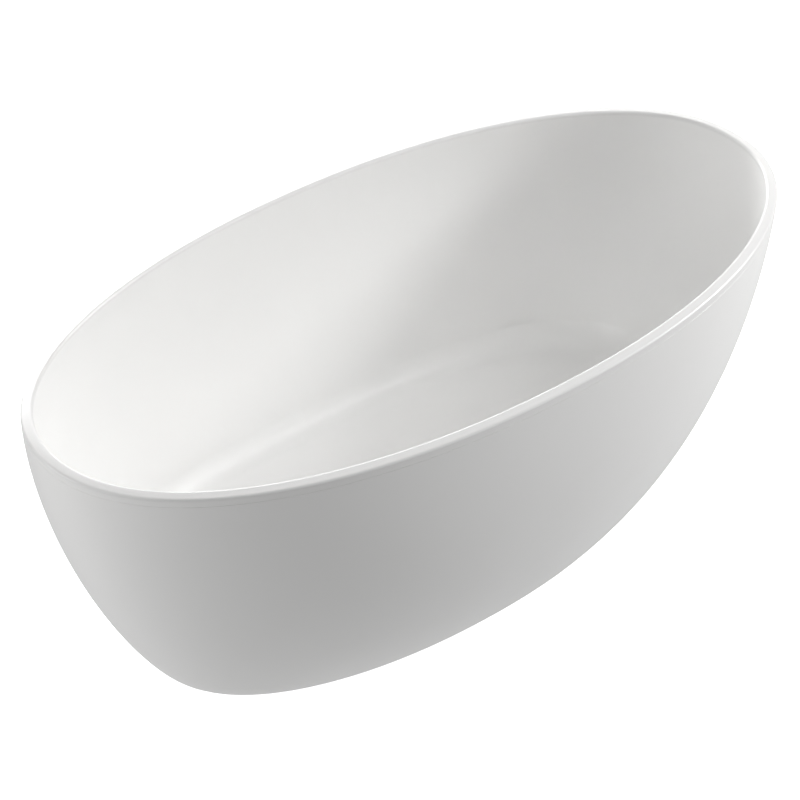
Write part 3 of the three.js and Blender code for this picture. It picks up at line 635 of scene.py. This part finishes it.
def make_board():
    low, high = low_of("floor_board"), high_of("floor_board")
    hole = RECESS_EDGE + SKIN + 2
    inset = SKIN + SEAM
    edge = floor_row(BOARD_SHARE)
    top_at_hole = FLOOR_LOW - inset
    share = 0.02
    rows = [(hole, hole, low[2] + 0.6, 2), (hole + 0.6, hole + 0.6, low[2], 2)]
    rows += [(*floor_row(s)[:2], low[2], floor_row(s)[3]) for s in spread(share, BOARD_SHARE, 6)[1:-1]]
    rows += [(edge[0] - 1, edge[1] - 1, low[2], edge[3]), (edge[0], edge[1], low[2] + 1, edge[3])]
    rows += [(edge[0], edge[1], high[2] - 1, edge[3]), (edge[0] - 1, edge[1] - 1, high[2] - 0.1, edge[3])]
    for s in spread(share, BOARD_SHARE, 6)[1:-1][::-1]:
        a, b, z, power = floor_row(s)
        rows.append((a, b, z - inset, power))
    rows += [(hole, hole, top_at_hole, 2)]
    points, faces = loft([oval(row, 160) for row in rows], closed_tube=True)
    piece = mesh_object("floor_board_panel", points, faces)
    drills = []
    for k in range(1, 7):
        x, y, _ = middle_of(f"board_screw_{k}")
        drills.append(rod_tool(2.8, low[2] - 1, high_of(f"board_screw_{k}")[2] + 0.3, x, y, 20))
    boolean(piece, drills, "DIFFERENCE")
    return settle(piece, "tub", ["floor_board"], "board", particle_board)


RAIL_WALL = 2


def square_ring(size, radius, along, axis, centre, steps=5):
    """Points of a square outline with round corners, at a place along the X or Y axis."""
    points = []
    for quadrant in range(4):
        middle = quadrant * QUARTER + QUARTER / 2
        cx = math.copysign(size / 2 - radius, math.cos(middle))
        cy = math.copysign(size / 2 - radius, math.sin(middle))
        for i in range(steps + 1):
            a = quadrant * QUARTER + QUARTER * i / steps
            u, v = cx + radius * math.cos(a), cy + radius * math.sin(a)
            across, up = centre
            points.append((along, across + u, up + v) if axis == 0 else (across + u, along, up + v))
    return points


def make_rail(name, node, axis, drills):
    low, high = low_of(node), high_of(node)
    size = high[2] - low[2]
    across = (low[1 - axis] + high[1 - axis]) / 2
    centre = (across, (low[2] + high[2]) / 2)
    start, end = low[axis], high[axis]
    bevel = 0.4
    rings = []
    for along, shrink in ((start, bevel), (start + bevel, 0), (end - bevel, 0), (end, bevel)):
        rings.append(square_ring(size - 2 * shrink, 3, along, axis, centre))
    for along in (end, start):
        rings.append(square_ring(size - 2 * RAIL_WALL, 1.5, along, axis, centre))
    piece = mesh_object(name, *loft(rings, closed_tube=True))
    boolean(piece, [rod_tool(*drill) for drill in drills], "DIFFERENCE")
    return settle(piece, "tub", [node], "steel", galvanised)


def make_frame():
    rail_low, rail_high = low_of("rail_front")[2], high_of("rail_front")[2]
    cross_low, cross_high = low_of("cross_rail_left")[2], high_of("cross_rail_left")[2]
    screws = [middle_of(f"board_screw_{k}") for k in range(1, 7)]
    bolts = [middle_of(f"frame_bolt_{k}") for k in range(1, 5)]
    feet = [middle_of(f"foot_stud_{k}") for k in range(1, 5)]
    middle = (rail_low + rail_high) / 2
    for node, side in (("rail_front", -1), ("rail_back", 1)):
        drills = [(2.8, middle, rail_high + 1, x, y, 20) for x, y, _ in screws if y * side > 0]
        drills += [(3.3, rail_low - 1, middle, x, y, 24) for x, y, _ in bolts if y * side > 0]
        make_rail(f"{node}_tube", node, 0, drills)
    for node, end in (("cross_rail_left", -1), ("cross_rail_right", 1)):
        drills = [(3.3, cross_low - 1, cross_high + 1, x, y, 24) for x, y, _ in bolts if x * end > 0]
        drills += [(6.3, cross_low - 1, cross_low + 6, x, y, 32) for x, y, _ in feet if x * end > 0]
        make_rail(f"{node}_tube", node, 1, drills)


def make_board_screw(k):
    node = f"board_screw_{k}"
    x, y, _ = middle_of(node)
    low, high = low_of(node)[2], high_of(node)[2]
    head, seat = 5.0, low + 3
    pan = [[1.2, low + 0.9], [1.2, low + 0.25], [head * 0.6, low]]
    pan += [[head * 0.92, low + 1.1], [head, low + 2.0]]
    pan += [[head, seat - 0.3], [head - 0.3, seat], [0, seat], [0, low + 0.9]]
    shank = threaded(2.5, 0.6, 1.8, seat - 0.6, high - 4, (x, y), 20, 0.6)
    tip = threaded(2.1, 0.4, 1.8, high - 4.2, high, (x, y), 20, 4.0)
    piece = mesh_object(f"{node}_wood_screw", *together(turned(pan, 28, 0.3, (x, y, 0)), shank, tip))
    settle(piece, "tub", [node], "zinc", zinc)


def make_bolt(k):
    node = f"frame_bolt_{k}"
    x, y, _ = middle_of(node)
    low, high = low_of(node)[2], high_of(node)[2]
    head = hexagon_part(10, low, low + 4, 0, (x, y), (True, False))
    dish = turned([[0, low + 3.9], [4.6, low + 3.9], [4.6, low + 4], [0, low + 4]], 28, 0, (x, y, 0))
    shank = threaded(3.0, 0.45, 1.0, low + 3.5, high, (x, y), 20, 0.8)
    piece = mesh_object(f"{node}_hex_bolt", *together(head, dish, shank))
    settle(piece, "tub", [node], "zinc", zinc)


def make_nut(node, flats, bore, name):
    x, y, _ = middle_of(node)
    part = hexagon_part(flats, low_of(node)[2], high_of(node)[2], bore, (x, y))
    settle(mesh_object(name, *part), "tub", [node], "zinc", zinc)


def make_foot(k):
    stud, pad = f"foot_stud_{k}", f"foot_pad_{k}"
    x, y, _ = middle_of(stud)
    low, high = low_of(stud)[2], high_of(stud)[2]
    pad_top = high_of(pad)[2]
    hex_low = pad_top + SEAM
    neck = [[0, low], [5.4, low], [5.8, low + 0.8], [5.8, hex_low + 1], [0, hex_low + 1]]
    plain = turned(neck, 40, 0.3, (x, y, 0))
    grip = hexagon_part(14, hex_low, hex_low + 7, 0, (x, y))
    thread = threaded(6, 0.75, STUD_PITCH, hex_low + 6.5, high, (x, y), 36, 1.2)
    piece = mesh_object(f"{stud}_threaded_rod", *together(plain, grip, thread))
    settle(piece, f"stud_{k}", [stud], "zinc", zinc)

    collar, radius = 11, 25
    outline = [[0, 0.6], [9, 0.6], [10.5, 0], [radius - 1, 0], [radius, 1], [radius, 3.5], [radius - 2, 6]]
    outline += [[collar + 2.5, 8.6], [collar, 11], [collar, pad_top - 0.6], [collar - 0.8, pad_top]]
    outline += [[6.9, pad_top], [6.3, pad_top - 0.6], [6.3, 5], [0, 5]]
    base = turned(outline, 64, 0.7, (x, y, 0))
    ribs = []
    for i in range(8):
        a = i * math.pi / 4
        across, out = Vector((-math.sin(a), math.cos(a))), Vector((math.cos(a), math.sin(a)))
        corners = []
        for r, z_low, z_high in ((collar - 1, 7, 12.5), (radius - 3.4, 5, 6.2)):
            for side in (-1, 1):
                p = out * r + across * 0.9 * side
                corners += [(x + p.x, y + p.y, z_low), (x + p.x, y + p.y, z_high)]
        ends = [[0, 1, 3, 2], [4, 6, 7, 5]]
        sides = [[0, 4, 5, 1], [2, 3, 7, 6], [1, 5, 7, 3], [0, 2, 6, 4]]
        ribs.append((corners, [*ends, *sides]))
    piece = mesh_object(f"{pad}_moulding", *together(base, *ribs))
    settle(piece, f"foot_{k}", [pad], "pad", nylon)


make_board()
make_frame()
for k in range(1, 7):
    make_board_screw(k)
for k in range(1, 5):
    make_bolt(k)
    make_nut(f"frame_nut_{k}", 10, 3.3, f"frame_nut_{k}_hex")
    make_nut(f"weld_nut_{k}", 19, 6.3, f"weld_nut_{k}_hex")
    make_nut(f"lock_nut_{k}", 19, 6.3, f"lock_nut_{k}_hex")
    make_foot(k)

# ---------- waste ----------

FLANGE_RADIUS, TUBE_RADIUS, BORE_RADIUS = 36, 24, 21
SPRING_TURNS, SPRING_WIRE = 4, 0.9


def make_flange():
    low, top = low_of("waste_flange")[2], high_of("waste_flange")[2]
    under = top - 2.5
    shape = [[BORE_RADIUS, under - 3], [TUBE_RADIUS - 0.05, under - 3], [TUBE_RADIUS - 0.05, under]]
    shape += [[FLANGE_RADIUS, under], [FLANGE_RADIUS, top - 1.1], [FLANGE_RADIUS - 1.8, top]]
    shape += [[TUBE_RADIUS + 1, top], [BORE_RADIUS, top - 3]]
    head = turned(shape, 96, 0.7)
    tube = threaded(TUBE_RADIUS, 0.9, 2.3, low, under - 2.6, (0, 0), 96, 1.5, 6, BORE_RADIUS)
    bar_top = top - 33
    bar_low = bar_top - 4
    spokes = []
    for i in range(4):
        a = i * QUARTER
        across, out = Vector((-math.sin(a), math.cos(a))), Vector((math.cos(a), math.sin(a)))
        rings = []
        for r in (8, BORE_RADIUS + 0.6):
            ring = []
            for u, z in rounded([[-2.5, bar_low], [2.5, bar_low], [2.5, bar_top], [-2.5, bar_top]], 0.8):
                p = out * r + across * u
                ring.append((p.x, p.y, z))
            rings.append(ring)
        points, faces = loft(rings)
        count = len(rings[0])
        spokes.append((points, [*faces, list(range(count)), list(range(count, 2 * count))]))
    hub = turned([[5.3, bar_low], [9, bar_low], [9, bar_top], [5.3, bar_top]], 48, 0.6)
    piece = mesh_object("waste_flange_casting", *together(head, tube, hub, *spokes), 40)
    settle(piece, "tub", ["waste_flange"], "chrome", chrome)


def make_turned(name, node, body, slot, material, section, sides=64, radius=0.5):
    piece = mesh_object(name, *turned(section, sides, radius))
    return settle(piece, body, [node], slot, material)


def make_seal(node, body, inner, radius=0.5):
    low, high = low_of(node), high_of(node)
    outline = [[inner, low[2]], [high[0], low[2]], [high[0], high[2]], [inner, high[2]]]
    make_turned(f"{node}_ring", node, body, "rubber", rubber, outline, 72, radius)


def make_cartridge():
    low, top = low_of("cartridge_body")[2], high_of("cartridge_body")[2]
    bar_top = high_of("waste_flange")[2] - 33
    seat = bar_top + 3.3
    bore = 4.8
    sleeve = [[0, seat], [0, bar_top + 0.3], [8, bar_top + 0.3], [8, bar_top + 5], [7.4, bar_top + 5.6]]
    sleeve += [[7.4, top - 4], [8, top - 3.4], [8, top - 0.6], [7.4, top], [bore, top], [bore, seat]]
    stud = threaded(5, 0.5, 1.0, low, bar_top + 0.6, (0, 0), 36, 0.9)
    piece = mesh_object("cartridge_sleeve", *together(turned(sleeve, 48, 0.3), stud))
    settle(piece, "tub", ["cartridge_body"], "chrome", chrome)


def make_spring():
    """A round wire wound at an even pitch from the spring's lower end to its upper one, with flat caps on the
    wire's ends.
    """
    low, high = low_of("cartridge_spring"), high_of("cartridge_spring")
    wire = SPRING_WIRE / 2
    mean = high[0] - wire
    turns, steps, around = SPRING_TURNS, 40, 10
    z_low, z_high = low[2] + wire, high[2] - wire
    rings = []
    count = turns * steps
    for i in range(count + 1):
        t = i / count
        a = 2 * math.pi * turns * t
        z = z_low + (z_high - z_low) * t
        out = Vector((math.cos(a), math.sin(a), 0))
        centre = Vector((mean * math.cos(a), mean * math.sin(a), z))
        ring = []
        for k in range(around):
            b = 2 * math.pi * k / around
            p = centre + out * wire * math.cos(b) + Vector((0, 0, wire * math.sin(b)))
            ring.append(tuple(p))
        rings.append(ring)
    points, faces = loft(rings)
    last = len(points) - around
    faces += [list(range(around)), list(range(last, last + around))]
    piece = mesh_object("cartridge_spring_coil", points, faces, 60)
    settle(piece, "tub", ["cartridge_spring"], "steel", galvanised)


def make_plug():
    low, high = low_of("plug_cap"), high_of("plug_cap")
    r, z, top = high[0], low[2], high[2]
    cap = [[0, z + 3], [4.8, z + 3], [4.8, z], [r - 1, z], [r, z + 1], [r, top - 2.6], [r - 1.2, top - 1.4]]
    cap += [[r * 0.75, top - 0.75], [r * 0.5, top - 0.3], [r * 0.25, top - 0.06], [0, top]]
    make_turned("plug_cap_dome", "plug_cap", "plug", "chrome", chrome, cap, 96, 0.9)
    make_seal("plug_seal", "plug", -low_of("plug_seal")[0] - 6.8, 0.7)
    low, high = low_of("plunger")[2], high_of("plunger")[2]
    pin = [[0, low], [3.6, low], [4.3, low + 0.7], [4.3, low + 2], [3.9, low + 2.6], [3.9, low + 4]]
    pin += [[4.5, low + 4.6], [4.5, high - 0.6], [3.9, high], [0, high]]
    make_turned("plunger_pin", "plunger", "plug", "chrome", chrome, pin, 40, 0.25)


def grip_ribs(radius, low, high, count, depth, half_width):
    """Small ribs round a nut for the fingers, each sunk into the nut's wall."""
    ribs = []
    for i in range(count):
        a = 2 * math.pi * i / count
        out, across = Vector((math.cos(a), math.sin(a))), Vector((-math.sin(a), math.cos(a)))
        rings = []
        for z, s in ((low, 0.5), (low + 1, 1), (high - 1, 1), (high, 0.5)):
            ring = []
            root = (radius - depth - 0.8, 1)
            shoulder = (radius - depth * (1 - 0.6 * s), 1)
            crest = (radius - depth * (1 - s), 0.35)
            for r, w in (root, shoulder, crest):
                p = out * r + across * half_width * w
                ring.append((p.x, p.y, z))
            for r, w in (crest, shoulder, root):
                p = out * r - across * half_width * w
                ring.append((p.x, p.y, z))
            rings.append(ring)
        points, faces = loft(rings)
        count_ring = len(rings[0])
        last = len(points) - count_ring
        ribs.append((points, [*faces, list(range(count_ring)), list(range(last, last + count_ring))]))
    return ribs


def make_back_nut():
    low, high = low_of("back_nut")[2], high_of("back_nut")[2]
    hexagon = hexagon_part(2 * TUBE_RADIUS + 10, low, high - 1, TUBE_RADIUS + 0.3, (0, 0), (True, False), 96)
    bore, rim = TUBE_RADIUS + 0.3, 35
    outline = [[bore, high - 3], [rim, high - 3], [rim, high], [bore, high]]
    collar = turned(outline, 96, 0.5)
    piece = mesh_object("back_nut_moulding", *together(hexagon, collar))
    settle(piece, "tub", ["back_nut"], "plastic", propylene)


def make_coupling_nut():
    low, high = low_of("coupling_nut"), high_of("coupling_nut")
    outer, body = high[0], high[0] - 1.2
    z0, z1 = low[2], high[2]
    shoulder, hook = z0 + 4, z1 - 9.7
    bore = TUBE_RADIUS + 0.3
    wide = TUBE_RADIUS + 3.3
    outline = [[bore, z0], [body, z0], [body, z1], [bore, z1]]
    outline += [[bore, hook], [wide, hook], [wide, shoulder], [bore, shoulder]]
    nut = turned(outline, 96, 0.5)
    ribs = grip_ribs(outer, z0 + 1.5, z1 - 1.5, 24, 1.2, 1.5)
    piece = mesh_object("coupling_nut_moulding", *together(nut, *ribs))
    settle(piece, "tub", ["coupling_nut"], "plastic", propylene)


def make_trap():
    low, high = low_of("trap_body"), high_of("trap_body")
    outlet = low_of("outlet_nut")[2] / 2 + high_of("outlet_nut")[2] / 2
    cup, wall = -low[0], 3
    bottom, top = low[2], high[2]
    lip = top - 4
    cup_top = low_of("coupling_nut")[2] - 16
    inside, dip_tube, dip = cup - wall, BORE_RADIUS + 2, bottom + 18
    seam = (bottom + cup_top) / 2 - 10
    outline = [[0, bottom], [cup - 6, bottom], [cup - 1, bottom + 5], [cup - 1, seam - 3], [cup, seam - 2]]
    outline += [[cup, seam + 2], [cup - 1, seam + 3], [cup - 1, cup_top - 3]]
    outline += [[cup - 4, cup_top], [TUBE_RADIUS, cup_top]]
    outline += [[TUBE_RADIUS, lip], [TUBE_RADIUS + 3, lip], [TUBE_RADIUS + 3, top], [BORE_RADIUS, top]]
    outline += [[BORE_RADIUS, dip], [dip_tube, dip], [dip_tube, cup_top - wall], [inside, cup_top - wall]]
    outline += [[inside, bottom + wall], [0, bottom + wall]]
    body = mesh_object("trap_body_moulding", *turned(outline, 96, 1.2))
    end = high[0]
    pipe = [[0, inside + 0.5], [18, inside + 0.5], [18, end - 14], [22, end - 14], [22, end], [0, end]]
    pipe_tool = mesh_object("tool", *along_x(turned(pipe, 64, 0.4), outlet))
    boolean(body, [pipe_tool], "UNION")
    start = dip_tube + 4
    bore = [[0, start], [15, start], [15, end + 1], [0, end + 1]]
    bore_tool = mesh_object("tool", *along_x(turned(bore, 64, 0), outlet))
    boolean(body, [bore_tool], "DIFFERENCE")
    return settle(body, "tub", ["trap_body"], "plastic", propylene)


def make_outlet():
    low, high = low_of("outlet_nut"), high_of("outlet_nut")
    outlet = (low[2] + high[2]) / 2
    outer, start, end = (high[2] - low[2]) / 2, low[0], high[0]
    body, inside, mouth = outer - 1.2, 22.3, 16
    outline = [[inside, start], [body, start], [body, end - 1.2], [body - 1.2, end], [mouth + 1, end]]
    outline += [[mouth, end - 1], [mouth, end - 4], [inside, end - 4]]
    nut = turned(outline, 96, 0.4)
    ribs = grip_ribs(outer, start + 1, end - 2, 24, 1.2, 1.4)
    piece = mesh_object("outlet_nut_moulding", *along_x(together(nut, *ribs), outlet))
    settle(piece, "tub", ["outlet_nut"], "plastic", propylene)
    low, high = low_of("outlet_seal"), high_of("outlet_seal")
    ring = [[15, low[0]], [19, low[0]], [19, high[0]], [15, high[0]]]
    piece = mesh_object("outlet_seal_ring", *along_x(turned(ring, 72, 0.8), outlet))
    settle(piece, "tub", ["outlet_seal"], "rubber", rubber)


make_flange()
make_seal("flange_gasket", "tub", TUBE_RADIUS + 0.3)
make_seal("base_gasket", "tub", TUBE_RADIUS + 0.3)
make_back_nut()
make_cartridge()
make_spring()
make_plug()
make_coupling_nut()
make_seal("trap_seal", "tub", BORE_RADIUS)
make_trap()
make_outlet()

# ---------- floor, light and camera ----------


FLOOR_REACH, FLOOR_LEVEL = 40000.0, -0.2


def make_floor():
    corners = ((-1, -1), (1, -1), (1, 1), (-1, 1))
    points = [(x * FLOOR_REACH, y * FLOOR_REACH, FLOOR_LEVEL) for x, y in corners]
    piece = mesh_object("studio_floor", points, [[0, 1, 2, 3]])
    s = Surface("pale_floor", (0.6, 0.8))
    s.colour(s.blend_colour(s.noise(0.8, 3.0), (0.93, 0.93, 0.93), (0.96, 0.96, 0.96))).rough(s.noise(3.0))
    s.shader.inputs["Emission Color"].default_value = (1, 1, 1, 1)
    s.shader.inputs["Emission Strength"].default_value = 0.92
    piece.data.materials.append(s.material)
    piece.visible_diffuse = False
    piece.visible_glossy = False
    return piece


def add_area(name, azimuth, elevation, size, power, distance=4.5, aim=(0, 0, 0.3)):
    """A square area light that looks at a point, from a direction in degrees. Azimuth 0 is +X."""
    az, el = math.radians(azimuth), math.radians(elevation)
    away = Vector((math.cos(el) * math.cos(az), math.cos(el) * math.sin(az), math.sin(el)))
    data = bpy.data.lights.new(name, "AREA")
    data.shape, data.size, data.energy = "SQUARE", size, power
    lamp = bpy.data.objects.new(name, data)
    scene.collection.objects.link(lamp)
    lamp.location = Vector(aim) + away * distance
    lamp.rotation_euler = away.to_track_quat("Z", "Y").to_euler()
    return lamp


# Name, azimuth, elevation, size in metres and power in watts. Most directions were picked from a grid by a
# least-squares fit to the photo. Its powers and the room's strengths below were then rounded, and some
# were changed.
LIGHTS = [
    ("key", -24, 25, 0.9, 116),
    ("key_high", -24, 42, 1.7, 43.5),
    ("key_low", -30, 14, 1.2, 11),
    ("back_low", 78, 22, 2.2, 135),
    ("back_middle", 60, 30, 2.0, 66),
    ("left_low", 157.5, 6, 1.7, 54),
    ("left_middle", 135, 25, 1.7, 20),
    ("camera_side", 192, 42, 2.2, 46.5),
    ("camera_low", -115, 3, 2.5, 6),
    ("overhead", 0, 90, 3.0, 21),
]
# How bright the room is in each direction: axis, side and strength. The light from below stands in for
# the floor's bounce, because the floor gives the bath no light.
ROOM = [("X", 1, 0.23), ("X", -1, 0.08), ("Y", -1, 0.15), ("Z", -1, 0.83)]


def make_light():
    world = bpy.data.worlds.new("studio")
    world.use_nodes = True
    tree = world.node_tree
    place = tree.nodes.new("ShaderNodeTexCoord")
    parts = tree.nodes.new("ShaderNodeSeparateXYZ")
    tree.links.new(place.outputs["Generated"], parts.inputs[0])
    total = None
    for axis, side, strength in ROOM:
        share = tree.nodes.new("ShaderNodeMapRange")
        share.inputs["From Max"].default_value = side
        share.inputs["To Max"].default_value = strength
        tree.links.new(parts.outputs[axis], share.inputs["Value"])
        if total is None:
            total = share.outputs["Result"]
            continue
        both = tree.nodes.new("ShaderNodeMath")
        tree.links.new(total, both.inputs[0])
        tree.links.new(share.outputs["Result"], both.inputs[1])
        total = both.outputs[0]
    back = tree.nodes["Background"]
    back.inputs["Color"].default_value = (1, 1, 1, 1)
    tree.links.new(total, back.inputs["Strength"])
    scene.world = world
    for light in LIGHTS:
        add_area(*light)


CAMERA_AZIMUTH, CAMERA_ELEVATION, CAMERA_ROLL = -131.65, 38.2, 2.28
CAMERA_DISTANCE = 6.006
CAMERA_TARGET = Vector((0, 0, 0.29))
CAMERA_LENS, CAMERA_SENSOR = 158.5, 36.0
CAMERA_SHIFT = (-0.0142, 0.0309)


def make_camera():
    az, el, roll = (math.radians(v) for v in (CAMERA_AZIMUTH, CAMERA_ELEVATION, CAMERA_ROLL))
    away = Vector((math.cos(el) * math.cos(az), math.cos(el) * math.sin(az), math.sin(el)))
    right = (-away).cross(Vector((0, 0, 1))).normalized()
    up = right.cross(-away)
    x_axis = math.cos(roll) * right + math.sin(roll) * up
    y_axis = math.cos(roll) * up - math.sin(roll) * right
    data = bpy.data.cameras.new("camera")
    data.lens, data.sensor_width = CAMERA_LENS, CAMERA_SENSOR
    data.shift_x, data.shift_y = CAMERA_SHIFT
    data.clip_end = 200
    camera = bpy.data.objects.new("camera", data)
    scene.collection.objects.link(camera)
    turn = Matrix((x_axis, y_axis, away)).transposed().to_4x4()
    camera.matrix_world = Matrix.Translation(CAMERA_TARGET + away * CAMERA_DISTANCE) @ turn
    scene.camera = camera


make_floor()
make_light()
make_camera()
scene.view_settings.view_transform = "Standard"
